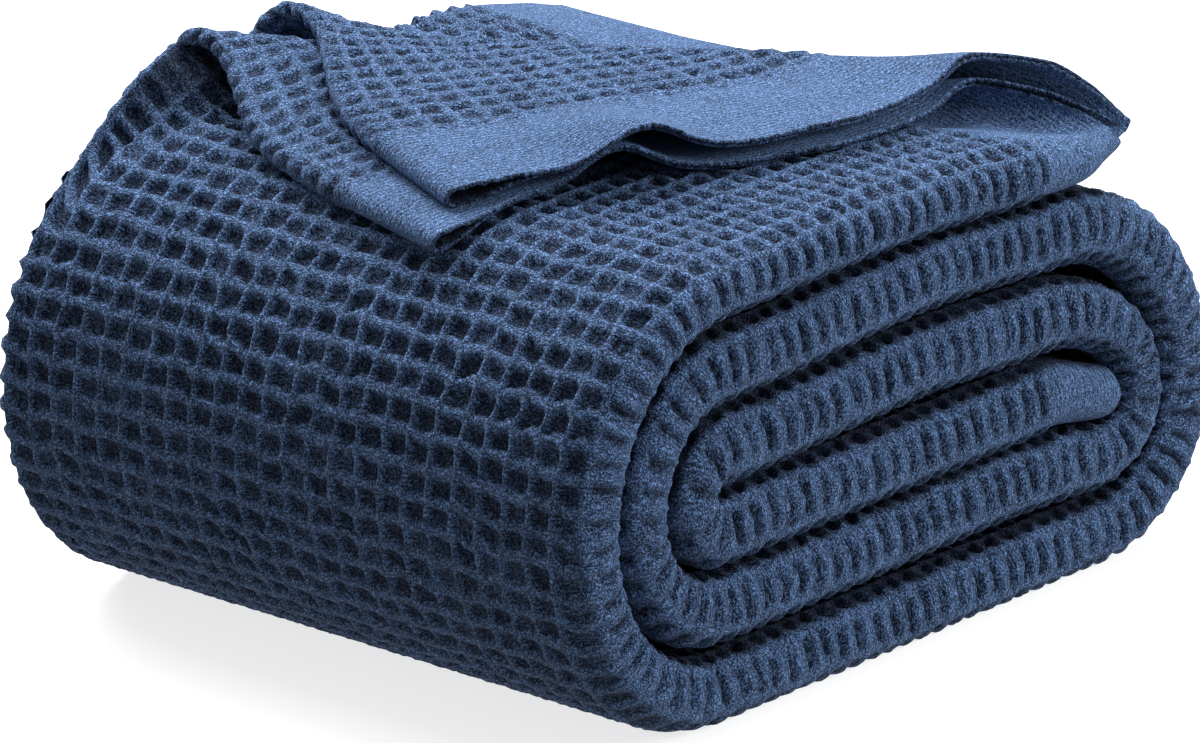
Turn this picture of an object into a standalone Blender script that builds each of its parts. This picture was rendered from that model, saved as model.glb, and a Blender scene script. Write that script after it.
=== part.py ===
"""A waffle weave cotton blanket, folded lengthwise into a thick strip and rolled flat.

The strip's near side is one soft round fold. Its far side shows three smaller folds, because the
outer half of the strip holds two folded tubes and the inner half holds one. At the outer end of the
roll, the corner of the two tubes is turned back over the top.

Places along the roll are in pitches, where one pitch is the height of one turn. X runs along the
turns, Y across the strip from its near side to its far side, and Z up from the surface below.
"""

import math

import bmesh
import bpy
import numpy as np
from mathutils import Matrix, Vector

# Driving dimensions in metres.
PITCH = 0.0295
STRIP_WIDTH = 0.280

# Dimensions in pitches.
WIDTH = STRIP_WIDTH / PITCH
NEAR_FOLD_DEPTH = 0.46
FAR_FOLD_DEPTH = 0.27
TUBE_FOLD_DEPTH = 0.14
NEAR_FOLD_STEPS = 7
FAR_FOLD_STEPS = 5
TUBE_FOLD_STEPS = 4

# One row per straight turn, from the inner end of the roll to its outer end.
# name, x start, z start, x middle, z middle, x end, z end, half thickness, steps
TURNS = (
    ("inner end", 10.55, 2.24, 9.2, 2.48, 2.90, 2.45, 0.45, 7),
    ("third layer", 2.90, 3.47, 6.8, 3.60, 9.0, 3.54, 0.46, 5),
    ("fifth layer", 10.30, 1.45, 8.5, 1.52, 2.90, 1.46, 0.44, 6),
    ("second layer", 2.90, 4.51, 7.0, 4.68, 9.4, 4.58, 0.44, 5),
    ("bottom layer", 10.30, 0.42, 6.0, 0.42, 2.90, 0.42, 0.42, 6),
    ("top layer", 2.90, 5.52, 6.2, 5.60, 10.70, 5.44, 0.38, 9),
)

# One row per turned end, between the straight turns above.
# name, x reach, z of the reach, half thickness, steps
BENDS = (
    ("inner left", 2.36, 2.95, 0.42, 8),
    ("inner right", 11.06, 2.15, 0.38, 9),
    ("middle left", 1.43, 2.98, 0.41, 10),
    ("outer right", 11.97, 1.98, 0.49, 12),
    ("outer left", 0.53, 2.95, 0.45, 14),
)

# The two ends of the cloth are hemmed and thinner: distance from the end, share of the thickness.
HEM_LENGTH = 1.5
END_ROUNDING = 0.30
END_INSET = 0.30
END_INSET_LENGTH = 1.0
INNER_HEM_SHARE = 0.74
OUTER_HEM_SHARE = 0.62
END_SHARE = 0.45

# The turned corner. The crest is the line that the corner is turned over, in plan.
CREST_X = 10.8
CREST_Y = 0.3
CREST_ANGLE = math.radians(125.8)
TUBE_HALF = 0.085
TUBE_HEM_HALF = 0.05
TUBE_HEM_LENGTH = 1.7
TUBE_HEM_BLEND = 0.8
TUBE_ROUNDING = 0.8
TUBE_LENGTH_STEPS = 24
TUBE_WIDTH_STEPS = 11
TUBE_CROWDING = 1.35
TUBE_EDGE_STEPS = 3

# The middle surface of each tube, one row per line along the strip, from the near side to the far.
# across, start x, foot x, foot z, reach, then x, y and z of the crest, of the middle and of the hem.
LOWER_TUBE = (
    (0.35, 9.20, 10.25, 5.54, 0.05, 10.62, 0.34, 5.62, 10.66, 0.33, 5.64, 10.69, 0.32, 5.66),
    (0.75, 8.90, 10.00, 5.57, 0.08, 10.38, 0.73, 5.82, 10.38, 0.72, 5.88, 10.36, 0.70, 5.94),
    (1.20, 8.60, 9.70, 5.62, 0.12, 10.12, 1.15, 5.98, 10.10, 1.10, 6.05, 10.06, 1.05, 6.12),
    (2.00, 7.90, 9.10, 5.66, 0.25, 9.58, 1.99, 6.10, 9.50, 1.87, 6.19, 9.40, 1.70, 6.24),
    (3.00, 7.20, 8.50, 5.71, 0.20, 8.90, 2.92, 6.12, 8.70, 2.35, 6.17, 8.45, 1.62, 6.12),
    (4.30, 6.40, 7.75, 5.78, 0.17, 8.00, 4.15, 6.17, 7.40, 2.90, 6.13, 7.00, 1.62, 6.12),
    (6.60, 4.60, 6.00, 5.88, 0.20, 6.15, 6.45, 6.38, 5.30, 4.50, 6.17, 4.50, 2.52, 6.14),
    (8.20, 2.90, 4.20, 6.00, 0.25, 4.85, 8.00, 6.48, 3.70, 5.60, 6.13, 2.90, 3.10, 6.08),
    (9.40, 1.10, 2.75, 6.34, 0.36, 3.45, 9.15, 6.74, 2.20, 6.80, 6.07, 1.42, 3.35, 5.72),
)
UPPER_TUBE = (
    (0.35, 9.20, 10.30, 5.44, 0.05, 10.78, 0.34, 5.54, 10.82, 0.33, 5.58, 10.85, 0.32, 5.62),
    (0.75, 8.90, 10.05, 5.45, 0.15, 10.56, 0.74, 5.88, 10.56, 0.73, 5.98, 10.52, 0.71, 6.08),
    (1.20, 8.70, 9.75, 5.48, 0.25, 10.36, 1.17, 6.14, 10.30, 1.15, 6.26, 10.20, 1.12, 6.36),
    (2.00, 8.10, 9.20, 5.49, 0.42, 9.75, 2.00, 6.40, 9.60, 1.90, 6.47, 9.45, 1.77, 6.50),
    (3.00, 7.40, 8.60, 5.51, 0.42, 8.95, 3.00, 6.38, 8.85, 2.40, 6.40, 8.65, 1.70, 6.38),
    (4.30, 6.80, 8.10, 5.54, 0.42, 8.02, 4.25, 6.38, 7.55, 2.90, 6.36, 7.25, 1.62, 6.32),
    (6.60, 5.10, 6.40, 5.62, 0.50, 6.26, 6.60, 6.76, 5.40, 4.50, 6.50, 4.75, 2.25, 6.37),
    (8.20, 3.90, 5.20, 5.74, 0.50, 5.30, 7.75, 6.76, 4.10, 5.60, 6.46, 3.10, 3.00, 6.33),
    (9.40, 3.00, 4.20, 6.14, 0.34, 4.76, 8.80, 6.86, 3.05, 6.20, 6.38, 1.90, 3.62, 6.04),
)
# Where the rows above lie along each line: start, foot, back of the crest, crest, middle, hem.
TUBE_KNOTS = (0.0, 0.18, 0.29, 0.40, 0.70, 1.0)
# How far below the top layer's upper side the middle of each tube starts.
LOWER_TUBE_DEPTH = 0.14
UPPER_TUBE_DEPTH = 0.38

# The cut that takes the turned tubes off the top layer, where they leave it.
CUT_BACK = 0.45
CUT_SIZE = 16.0
CUT_HEIGHT = 2.0
CUT_BOTTOM = 5.50
CUT_BOTTOM_X = 4.0
CUT_SLOPE = math.radians(0.8)

COTTON_BLUE = (0.045, 0.095, 0.225, 1.0)
COTTON_ROUGHNESS = 0.9


def clear_scene():
    for thing in list(bpy.data.objects):
        bpy.data.objects.remove(thing, do_unlink=True)


def new_collection(name):
    collection = bpy.data.collections.new(name)
    bpy.context.scene.collection.children.link(collection)
    return collection


def cotton_material():
    material = bpy.data.materials.new("cotton_waffle")
    material.use_nodes = True
    shader = material.node_tree.nodes["Principled BSDF"]
    shader.inputs["Base Color"].default_value = COTTON_BLUE
    shader.inputs["Roughness"].default_value = COTTON_ROUGHNESS
    shader.inputs["Metallic"].default_value = 0.0
    return material


def ease(share):
    """A slow start and a slow end, for a share from 0 to 1."""
    return share * share * (3.0 - 2.0 * share)


def smooth_between(knots, values, place):
    """A smooth curve through values given at uneven knots, without overshoot, read at one place."""
    knots = np.asarray(knots, float)
    values = np.asarray(values, float)
    steps = np.diff(knots)
    slopes = np.diff(values, axis=0) / steps[:, None]
    tangents = np.empty_like(values)
    tangents[0] = slopes[0]
    tangents[-1] = slopes[-1]
    product = slopes[:-1] * slopes[1:]
    total = slopes[:-1] + slopes[1:]
    rising = product > 0
    tangents[1:-1] = np.where(rising, 2 * product / np.where(rising, total, 1.0), 0.0)
    index = int(np.clip(np.searchsorted(knots, place) - 1, 0, len(steps) - 1))
    step = steps[index]
    share = (place - knots[index]) / step
    square = share * share
    cube = square * share
    return (
        (2 * cube - 3 * square + 1) * values[index]
        + (cube - 2 * square + share) * step * tangents[index]
        + (3 * square - 2 * cube) * values[index + 1]
        + (cube - square) * step * tangents[index + 1]
    )


def turn_points(turn):
    """Points of one straight turn: x, z and half thickness."""
    _, x_start, z_start, x_middle, z_middle, x_end, z_end, half, steps = turn
    points = []
    for step in range(steps + 1):
        x = x_start + (x_end - x_start) * step / steps
        if abs(x - x_start) < abs(x_middle - x_start):
            share = (x - x_start) / (x_middle - x_start)
            z = z_start + (z_middle - z_start) * ease(share)
        else:
            share = (x - x_middle) / (x_end - x_middle)
            z = z_middle + (z_end - z_middle) * ease(share)
        points.append((x, z, half))
    return points


def bend_points(bend, start, end):
    """Points of one turned end, as two quarter ellipses, without its first and last point."""
    _, x_reach, z_reach, half, steps = bend
    points = []
    for step in range(1, steps):
        angle = math.pi * step / steps
        x_side, z_side, half_side = start if angle < math.pi / 2 else end
        x = x_side + (x_reach - x_side) * math.sin(angle)
        z = z_reach + abs(z_side - z_reach) * math.cos(angle) * math.copysign(1, start[1] - z_reach)
        share = math.sin(angle)
        points.append((x, z, half_side + (half - half_side) * share))
    return points


def roll_path():
    """The middle line of the rolled strip, from its inner end to its outer end."""
    path = []
    for index, turn in enumerate(TURNS):
        points = turn_points(turn)
        if index:
            path += bend_points(BENDS[index - 1], path[-1], points[0])
        path += points
    return np.array(path)


def hem_share(distance, share):
    """How much of the thickness is left at a distance from a hemmed end."""
    thin = share + (1.0 - share) * ease(min(distance / HEM_LENGTH, 1.0))
    if distance < END_ROUNDING:
        thin *= END_SHARE + (1.0 - END_SHARE) * math.sqrt(distance / END_ROUNDING)
    return thin


def strip_outline():
    """The strip's cross-section: height in half thicknesses, and distance across the strip."""
    outline = []
    for step in range(NEAR_FOLD_STEPS + 1):
        angle = math.pi * step / NEAR_FOLD_STEPS
        outline.append((-math.cos(angle), NEAR_FOLD_DEPTH * (1.0 - math.sin(angle))))
    folds = (
        (0.75, 0.25, TUBE_FOLD_DEPTH, TUBE_FOLD_STEPS),
        (0.25, 0.25, TUBE_FOLD_DEPTH, TUBE_FOLD_STEPS),
        (-0.5, 0.5, FAR_FOLD_DEPTH, FAR_FOLD_STEPS),
    )
    for middle, half, depth, steps in folds:
        for step in range(steps + 1):
            angle = math.pi * step / steps
            place = (middle + half * math.cos(angle), WIDTH - depth * (1.0 - math.sin(angle)))
            if outline[-1] != place:
                outline.append(place)
    return outline


def mapped_grid(name, rows, columns, place):
    """A grid of quads whose corners are moved to place(row, column), with its end row ring filled."""
    mesh = bpy.data.meshes.new(name)
    work = bmesh.new()
    bmesh.ops.create_grid(work, x_segments=rows - 1, y_segments=columns - 1, size=1.0)
    for vertex in work.verts:
        row = round((vertex.co.x + 1.0) / 2.0 * (rows - 1))
        column = round((vertex.co.y + 1.0) / 2.0 * (columns - 1))
        vertex.co = place(row, column)
    bmesh.ops.remove_doubles(work, verts=work.verts, dist=PITCH * 1e-4)
    bmesh.ops.holes_fill(work, edges=work.edges, sides=0)
    bmesh.ops.recalc_face_normals(work, faces=work.faces)
    work.to_mesh(mesh)
    work.free()
    return bpy.data.objects.new(name, mesh)


def add_roll():
    """The rolled strip as one lofted solid."""
    path = roll_path()
    along = np.gradient(path[:, :2], axis=0)
    along /= np.linalg.norm(along, axis=1)[:, None]
    lengths = np.linalg.norm(np.diff(path[:, :2], axis=0), axis=1)
    travelled = np.concatenate([[0.0], np.cumsum(lengths)])
    outline = strip_outline()

    def place(row, column):
        height, across = outline[column % len(outline)]
        left = travelled[-1] - travelled[row]
        inset = END_INSET * (1.0 - ease(min(left / END_INSET_LENGTH, 1.0)))
        across += inset * (WIDTH - across) / WIDTH
        inner = hem_share(travelled[row], INNER_HEM_SHARE)
        outer = hem_share(left, OUTER_HEM_SHARE)
        offset = height * path[row, 2] * min(inner, outer)
        x = path[row, 0] - along[row, 1] * offset
        z = path[row, 1] + along[row, 0] * offset
        return Vector((x, across, z)) * PITCH

    return mapped_grid("roll", len(path), len(outline) + 1, place)


def top_height(path, x):
    """The height of the top layer's upper side."""
    reach = path[-TURNS[-1][-1] - BENDS[-1][-1] // 2 :]
    side = np.interp(x, reach[:, 0], reach[:, 1])
    if x < TURNS[-1][1]:
        side = np.interp(x, reach[:, 0] - reach[:, 2] * 0.7, reach[:, 1] + reach[:, 2] * 0.7)
        return side
    return side + np.interp(x, reach[:, 0], reach[:, 2])


def tube_line(line, across, path, depth):
    """The six points of one line along a tube, in the order of TUBE_KNOTS."""
    start_x, foot_x, foot_z, reach = line[0:4]
    crest = np.array(line[4:7])
    start = np.array((start_x, across, top_height(path, start_x) - depth))
    foot = np.array((foot_x, across, foot_z))
    outward = np.array((math.sin(CREST_ANGLE), -math.cos(CREST_ANGLE), 0.0))
    back = 0.5 * (foot + crest) + outward * reach
    return np.array((start, foot, back, crest, line[7:10], line[10:13]))


def add_tube(name, table, depth):
    """One folded tube of the turned corner, as a thick sheet with round edges."""
    path = roll_path()
    knots = [row[0] for row in table]
    values = [row[1:] for row in table]
    near, far = knots[0], knots[-1]

    def travelled(across):
        """The six points of one line, and how far along the line each one is."""
        points = tube_line(smooth_between(knots, values, across), across, path, depth)
        lengths = np.linalg.norm(np.diff(points, axis=0), axis=1)
        return points, np.concatenate([[0.0], np.cumsum(lengths)])

    def middle(share, across):
        points, places = travelled(across)
        return smooth_between(places, points, np.interp(share, TUBE_KNOTS, places))

    def directions(share, across):
        step = 0.01
        length = middle(min(share + step, 1.0), across) - middle(max(share - step, 0.0), across)
        wide = middle(share, min(across + step, far)) - middle(share, max(across - step, near))
        upward = np.cross(length, wide)
        return upward / np.linalg.norm(upward), wide / np.linalg.norm(wide)

    def half_thickness(share, across):
        """Thin in the plain band at the hem, and thicker in the waffle beyond it."""
        places = travelled(across)[1]
        beyond = places[-1] - np.interp(share, TUBE_KNOTS, places) - TUBE_HEM_LENGTH
        blend = min(max(beyond / TUBE_HEM_BLEND, 0.0), 1.0)
        return TUBE_HEM_HALF + (TUBE_HALF - TUBE_HEM_HALF) * ease(blend)

    shares = [(step / TUBE_WIDTH_STEPS) ** TUBE_CROWDING for step in range(TUBE_WIDTH_STEPS + 1)]
    face = [near + (far - near) * share for share in shares]
    ring = [(across, -1.0, 0.0) for across in face]
    edge = [math.pi * step / TUBE_EDGE_STEPS for step in range(1, TUBE_EDGE_STEPS)]
    ring += [(far, -math.cos(angle), math.sin(angle)) for angle in edge]
    ring += [(across, 1.0, 0.0) for across in reversed(face)]
    ring += [(near, math.cos(angle), -math.sin(angle)) for angle in edge]

    def place(row, column):
        """The first and last rows lie on the middle surface, which closes the ends with quads."""
        step = min(max(row - 1, 0), TUBE_LENGTH_STEPS)
        share = step / TUBE_LENGTH_STEPS
        across, height, reach = ring[column % len(ring)]
        if row != step + 1:
            height = 0.0
        upward, sideways = directions(share, across)
        offset = upward * height + sideways * reach * TUBE_ROUNDING
        return Vector(middle(share, across) + offset * half_thickness(share, across)) * PITCH

    return mapped_grid(name, TUBE_LENGTH_STEPS + 3, len(ring) + 1, place)


def add_cutter():
    """The block that takes the outer half off the top layer beyond the crest."""
    mesh = bpy.data.meshes.new("cutter")
    work = bmesh.new()
    bmesh.ops.create_cube(work, size=1.0)
    bmesh.ops.scale(work, verts=work.verts, vec=(CUT_SIZE, 2 * CUT_SIZE, CUT_HEIGHT))
    bmesh.ops.translate(work, verts=work.verts, vec=(CUT_SIZE / 2 - CUT_BACK, 0.0, CUT_HEIGHT / 2))
    work.transform(Matrix.Rotation(CREST_ANGLE - math.pi / 2, 4, "Z"))
    bmesh.ops.translate(work, verts=work.verts, vec=(CREST_X - CUT_BOTTOM_X, CREST_Y, 0.0))
    work.transform(Matrix.Rotation(CUT_SLOPE, 4, "Y"))
    bmesh.ops.translate(work, verts=work.verts, vec=(CUT_BOTTOM_X, 0.0, CUT_BOTTOM))
    bmesh.ops.scale(work, verts=work.verts, vec=(PITCH, PITCH, PITCH))
    work.to_mesh(mesh)
    work.free()
    return bpy.data.objects.new("cutter", mesh)


def combine(target, other, operation):
    modifier = target.modifiers.new(other.name, "BOOLEAN")
    modifier.operation = operation
    modifier.solver = "EXACT"
    modifier.object = other


def finish_mesh(blanket):
    """Apply the combining steps, and set the blanket down with its footprint about the origin."""
    depsgraph = bpy.context.evaluated_depsgraph_get()
    mesh = bpy.data.meshes.new_from_object(blanket.evaluated_get(depsgraph))
    blanket.modifiers.clear()
    blanket.data = mesh
    mesh.name = "blanket"
    corners = np.array([vertex.co for vertex in mesh.vertices])
    low = corners.min(axis=0)
    high = corners.max(axis=0)
    shift = Vector((-(low[0] + high[0]) / 2, -(low[1] + high[1]) / 2, -low[2]))
    mesh.transform(Matrix.Translation(shift))
    for polygon in mesh.polygons:
        polygon.use_smooth = True


def main():
    clear_scene()
    parts = new_collection("waffle_weave_blanket")
    cutters = new_collection("cutters")
    blanket = add_roll()
    blanket.name = "blanket"
    parts.objects.link(blanket)
    cutter = add_cutter()
    lower_tube = add_tube("lower_tube", LOWER_TUBE, LOWER_TUBE_DEPTH)
    upper_tube = add_tube("upper_tube", UPPER_TUBE, UPPER_TUBE_DEPTH)
    for helper in (cutter, lower_tube, upper_tube):
        cutters.objects.link(helper)
        helper.hide_render = True
        helper.display_type = "WIRE"
    combine(blanket, cutter, "DIFFERENCE")
    combine(blanket, lower_tube, "UNION")
    combine(blanket, upper_tube, "UNION")
    bpy.context.view_layer.update()
    finish_mesh(blanket)
    blanket.data.materials.clear()
    blanket.data.materials.append(cotton_material())


main()
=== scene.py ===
# %% [markdown]
# # A waffle weave cotton blanket, rolled flat
#
# The blanket is one cloth, folded lengthwise into a thick strip and rolled flat. This lesson starts from
# the solid model of it and lays waffle cloth over the solid's folds: square cells, ribbed folds at the
# near side, and plain woven bands with stitched hems at both ends.
#
# Places are in pitches, where one pitch is the height of one turn of the roll. X runs along the turns,
# Y across the strip from its near side, and Z up.

# %% [markdown]
# ## The solid model
#
# The solid model has the blanket's size and folds, but no weave. The cloth could be made without it and
# fitted by eye. Loading it first is surer, because the cloth then takes its place from the solid.

# %% Load the solid model
import math

import bmesh
import bpy
import numpy as np
from mathutils import Matrix, Vector


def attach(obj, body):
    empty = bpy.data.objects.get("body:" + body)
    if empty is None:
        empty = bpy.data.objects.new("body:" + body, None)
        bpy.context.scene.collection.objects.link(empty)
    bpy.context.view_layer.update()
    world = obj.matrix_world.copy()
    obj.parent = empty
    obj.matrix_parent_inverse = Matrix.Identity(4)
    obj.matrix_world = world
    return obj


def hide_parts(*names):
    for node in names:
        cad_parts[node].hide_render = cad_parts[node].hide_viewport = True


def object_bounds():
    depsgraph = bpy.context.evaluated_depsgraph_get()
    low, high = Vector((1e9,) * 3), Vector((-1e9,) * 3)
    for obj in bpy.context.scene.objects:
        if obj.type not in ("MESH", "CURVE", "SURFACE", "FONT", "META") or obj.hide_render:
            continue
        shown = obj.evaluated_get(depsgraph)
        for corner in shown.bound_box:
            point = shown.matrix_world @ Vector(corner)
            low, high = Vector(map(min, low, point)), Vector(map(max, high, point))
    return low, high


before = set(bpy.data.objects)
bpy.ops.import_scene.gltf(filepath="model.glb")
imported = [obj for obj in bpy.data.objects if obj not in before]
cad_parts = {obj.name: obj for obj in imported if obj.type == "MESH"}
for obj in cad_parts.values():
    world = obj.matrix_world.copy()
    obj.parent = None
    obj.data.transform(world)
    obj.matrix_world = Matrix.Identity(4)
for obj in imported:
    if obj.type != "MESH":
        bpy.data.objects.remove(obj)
cad_box = [list(corner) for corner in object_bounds()]
print("solid box", [[round(value, 4) for value in corner] for corner in cad_box])

# %% [markdown]
# ## Sizes of the roll
#
# The strip lies in six straight turns with five turned ends between them. Its line could be drawn by
# hand, but the turns of a roll have to lie close on each other. So each turn and each end is one row of
# sizes, the same as in the solid model, and the line is worked out from them.

# %% Sizes of the roll
PITCH = 0.0295
STRIP_WIDTH = 0.280
WIDTH = STRIP_WIDTH / PITCH
print("the strip is", round(WIDTH, 2), "pitches wide")

# One row per straight turn, from the inner end of the roll to its outer end.
# name, x start, z start, x middle, z middle, x end, z end, half thickness, steps
TURNS = (
    ("inner end", 10.55, 2.24, 9.2, 2.48, 2.90, 2.45, 0.45, 7),
    ("third layer", 2.90, 3.47, 6.8, 3.60, 9.0, 3.54, 0.46, 5),
    ("fifth layer", 10.30, 1.45, 8.5, 1.52, 2.90, 1.46, 0.44, 6),
    ("second layer", 2.90, 4.51, 7.0, 4.68, 9.4, 4.58, 0.44, 5),
    ("bottom layer", 10.30, 0.42, 6.0, 0.42, 2.90, 0.42, 0.42, 6),
    ("top layer", 2.90, 5.52, 6.2, 5.60, 10.70, 5.44, 0.38, 9),
)

# One row per turned end, between the straight turns above.
# name, x reach, z of the reach, half thickness, steps
BENDS = (
    ("inner left", 2.36, 2.95, 0.42, 8),
    ("inner right", 11.06, 2.15, 0.38, 9),
    ("middle left", 1.43, 2.98, 0.41, 10),
    ("outer right", 11.97, 1.98, 0.49, 12),
    ("outer left", 0.53, 2.95, 0.45, 14),
)

# %% [markdown]
# ## Smooth curves
#
# Cloth bends in smooth curves. Blender's curve objects could draw them, but here the same curves also
# steer the thickness, the shade and the count of cells, which a curve object can't do. Two small
# functions serve for all of it.


# %% Two smooth curves
def ease(share):
    """A slow start and a slow end, for shares from 0 to 1."""
    share = np.clip(share, 0.0, 1.0)
    return share * share * (3.0 - 2.0 * share)


def smooth_between(knots, values, places):
    """A smooth curve through values given at uneven knots, without overshoot, read at many places."""
    knots = np.asarray(knots, float)
    values = np.asarray(values, float)
    places = np.asarray(places, float)
    steps = np.diff(knots)
    slopes = np.diff(values, axis=0) / steps[:, None]
    tangents = np.empty_like(values)
    tangents[0] = slopes[0]
    tangents[-1] = slopes[-1]
    product = slopes[:-1] * slopes[1:]
    total = slopes[:-1] + slopes[1:]
    rising = product > 0
    tangents[1:-1] = np.where(rising, 2 * product / np.where(rising, total, 1.0), 0.0)
    index = np.clip(np.searchsorted(knots, places) - 1, 0, len(steps) - 1)
    step = steps[index][:, None]
    share = ((places - knots[index]) / steps[index])[:, None]
    square = share * share
    cube = square * share
    return (
        (2 * cube - 3 * square + 1) * values[index]
        + (cube - 2 * square + share) * step * tangents[index]
        + (3 * square - 2 * cube) * values[index + 1]
        + (cube - square) * step * tangents[index + 1]
    )


print("ease at a quarter and at three quarters:", ease(0.25), ease(0.75))

# %% [markdown]
# ## Uneven values
#
# No two cells of a woven cloth are quite alike. Random numbers could vary them, but pieces that share a
# row of cells have to agree on it. So the unevenness is worked out from the place of each cell.


# %% Uneven values
def scatter(column, row, seed):
    """A repeatable number from 0 to 1 for each cell."""
    value = np.sin(column * 127.1 + row * 311.7 + seed * 74.7) * 43758.5453
    return value - np.floor(value)


def wander(u, v, seed):
    """Smooth uneven values from 0 to 1."""
    column, row = np.floor(u), np.floor(v)
    across, up = ease(u - column), ease(v - row)
    low = scatter(column, row, seed) * (1 - across) + scatter(column + 1, row, seed) * across
    high = scatter(column, row + 1, seed) * (1 - across) + scatter(column + 1, row + 1, seed) * across
    return low * (1 - up) + high * up


print("three cells in a row:", [round(float(scatter(column, 0, 3)), 2) for column in range(3)])

# %% [markdown]
# ## The middle line of the strip
#
# A roll is one long strip, so a line through the middle of its thickness describes all of it. A spiral
# formula could give the line, but a soft roll is pressed flat by its own weight. Straight turns joined by
# quarter ellipses keep every turn at its own height.


# %% The middle line
def turn_points(turn, fineness):
    """Points of one straight turn: x, z and half thickness."""
    _, x_start, z_start, x_middle, z_middle, x_end, z_end, half, steps = turn
    x = np.linspace(x_start, x_end, steps * fineness + 1)
    first = ease((x - x_start) / (x_middle - x_start))
    second = ease((x - x_middle) / (x_end - x_middle))
    z = z_start + (z_middle - z_start) * first + (z_end - z_middle) * second
    return np.stack([x, z, np.full_like(x, half)], axis=1)


def bend_points(bend, start, end, fineness):
    """Points of one turned end, as two quarter ellipses, without its first and last point."""
    _, x_reach, z_reach, half, steps = bend
    angle = np.linspace(0.0, math.pi, steps * fineness + 1)[1:-1]
    side = np.where((angle < math.pi / 2)[:, None], start, end)
    rise = math.copysign(1.0, start[1] - z_reach)
    x = side[:, 0] + (x_reach - side[:, 0]) * np.sin(angle)
    z = z_reach + np.abs(side[:, 1] - z_reach) * np.cos(angle) * rise
    thickness = side[:, 2] + (half - side[:, 2]) * np.sin(angle)
    return np.stack([x, z, thickness], axis=1)


def roll_path(fineness=10):
    """The middle line of the rolled strip, from its inner end to its outer end."""
    pieces = []
    for index, turn in enumerate(TURNS):
        points = turn_points(turn, fineness)
        if index:
            pieces.append(bend_points(BENDS[index - 1], pieces[-1][-1], points[0], fineness))
        pieces.append(points)
    return np.concatenate(pieces)


path = roll_path()
lengths = np.linalg.norm(np.diff(path[:, :2], axis=0), axis=1)
travelled = np.concatenate([[0.0], np.cumsum(lengths)])
along = np.gradient(path[:, :2], travelled, axis=0)
along /= np.linalg.norm(along, axis=1)[:, None]
path_end = travelled[-1]
print("the strip is", round(path_end * PITCH, 3), "m long on its middle line")

# %% [markdown]
# ## Lengths along the strip
#
# Each piece of cloth below covers a stretch of the strip. The stretches could be typed in as lengths, but
# read off the turns they stay right when a size of the roll changes.

# %% Where the turns start and end
turn_starts = []
turn_ends = []
for turn in TURNS:
    from_start = np.hypot(path[:, 0] - turn[1], path[:, 1] - turn[2])
    from_end = np.hypot(path[:, 0] - turn[5], path[:, 1] - turn[6])
    turn_starts.append(travelled[from_start.argmin()])
    turn_ends.append(travelled[from_end.argmin()])
second_start, second_end = turn_starts[3], turn_ends[3]
bottom_start = turn_starts[4]
print("turns start at", [round(value, 2) for value in turn_starts])

# %% [markdown]
# ## How thick the strip is
#
# The strip is eight layers thick, and thinner at its two ends, where the plain bands and the hems lie. On
# a solid its ends would be bevelled. Here the thickness is a number along the strip, and a quarter circle
# rounds each end.

# %% The thickness along the strip
HEM_LENGTH = 1.5
INNER_HEM_SHARE = 0.82
OUTER_HEM_SHARE = 0.78
INNER_END_RADIUS = 0.18
OUTER_END_RADIUS = 0.30
OUTER_END_SHARE = 0.55


def hem_share(distance, share):
    """How much of the thickness is left at a distance from a hemmed end."""
    return share + (1.0 - share) * ease(distance / HEM_LENGTH)


def end_round(distance, radius):
    """A rounded end: the share of the thickness left near the very end."""
    inside = np.clip(1.0 - distance / radius, 0.0, 1.0)
    return np.sqrt(np.maximum(1.0 - inside * inside, 0.0))


def path_at(place):
    """Middle line, half thickness and direction of the strip at places along it."""
    x = np.interp(place, travelled, path[:, 0])
    z = np.interp(place, travelled, path[:, 1])
    half = np.interp(place, travelled, path[:, 2])
    ahead_x = np.interp(place, travelled, along[:, 0])
    ahead_z = np.interp(place, travelled, along[:, 1])
    left = path_end - place
    half = half * hem_share(place, INNER_HEM_SHARE) * end_round(place, INNER_END_RADIUS)
    half = half * hem_share(left, OUTER_HEM_SHARE)
    half = half * (OUTER_END_SHARE + (1.0 - OUTER_END_SHARE) * end_round(left, OUTER_END_RADIUS))
    return x, z, half, ahead_x, ahead_z


print("half thickness in the bottom turn:", round(float(path_at(bottom_start)[2]), 3))

# %% [markdown]
# ## The strip's surface
#
# The near side of the strip is one round fold with a face above and a face below. A modifier could bend a
# flat cloth into it, but not into all the turns of the roll. So a place on the cloth is given by how far
# it is along the roll and how far around the near fold. Zero is the middle of that fold, positive values
# are on the outer face and negative ones on the inner face.

# %% The near fold and the two faces
NEAR_FOLD_DEPTH = 0.46
QUARTER_FOLD = 0.70
END_INSET = 0.30
END_INSET_LENGTH = 1.0
INNER_END_INSET = 0.20
INNER_INSET_RADIUS = 0.24
# In the gaps between the turns, the faces sink a little, so that they don't touch.
GAP_FROM = 0.45
GAP_BLEND = 0.4
GAP_SINK = 0.10
FREE_FROM = bottom_start + 1.0


def near_across(around):
    """How far a place around the near fold lies from the strip's near side."""
    angle = np.clip(np.abs(around) / QUARTER_FOLD, 0.0, 1.0) * math.pi / 2
    return NEAR_FOLD_DEPTH * (1.0 - np.cos(angle)) + np.maximum(np.abs(around) - QUARTER_FOLD, 0.0)


def strip_point(place, height, across):
    """A point of the strip from its place along it, its height in half thicknesses and its distance in."""
    x, z, half, ahead_x, ahead_z = path_at(place)
    inset = END_INSET * (1.0 - ease((path_end - place) / END_INSET_LENGTH))
    inset = inset + INNER_END_INSET * (1.0 - end_round(place, INNER_INSET_RADIUS))
    across = across + inset * (WIDTH - across) / WIDTH
    return np.stack([x - ahead_z * half * height, across, z + ahead_x * half * height], axis=-1)


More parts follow.
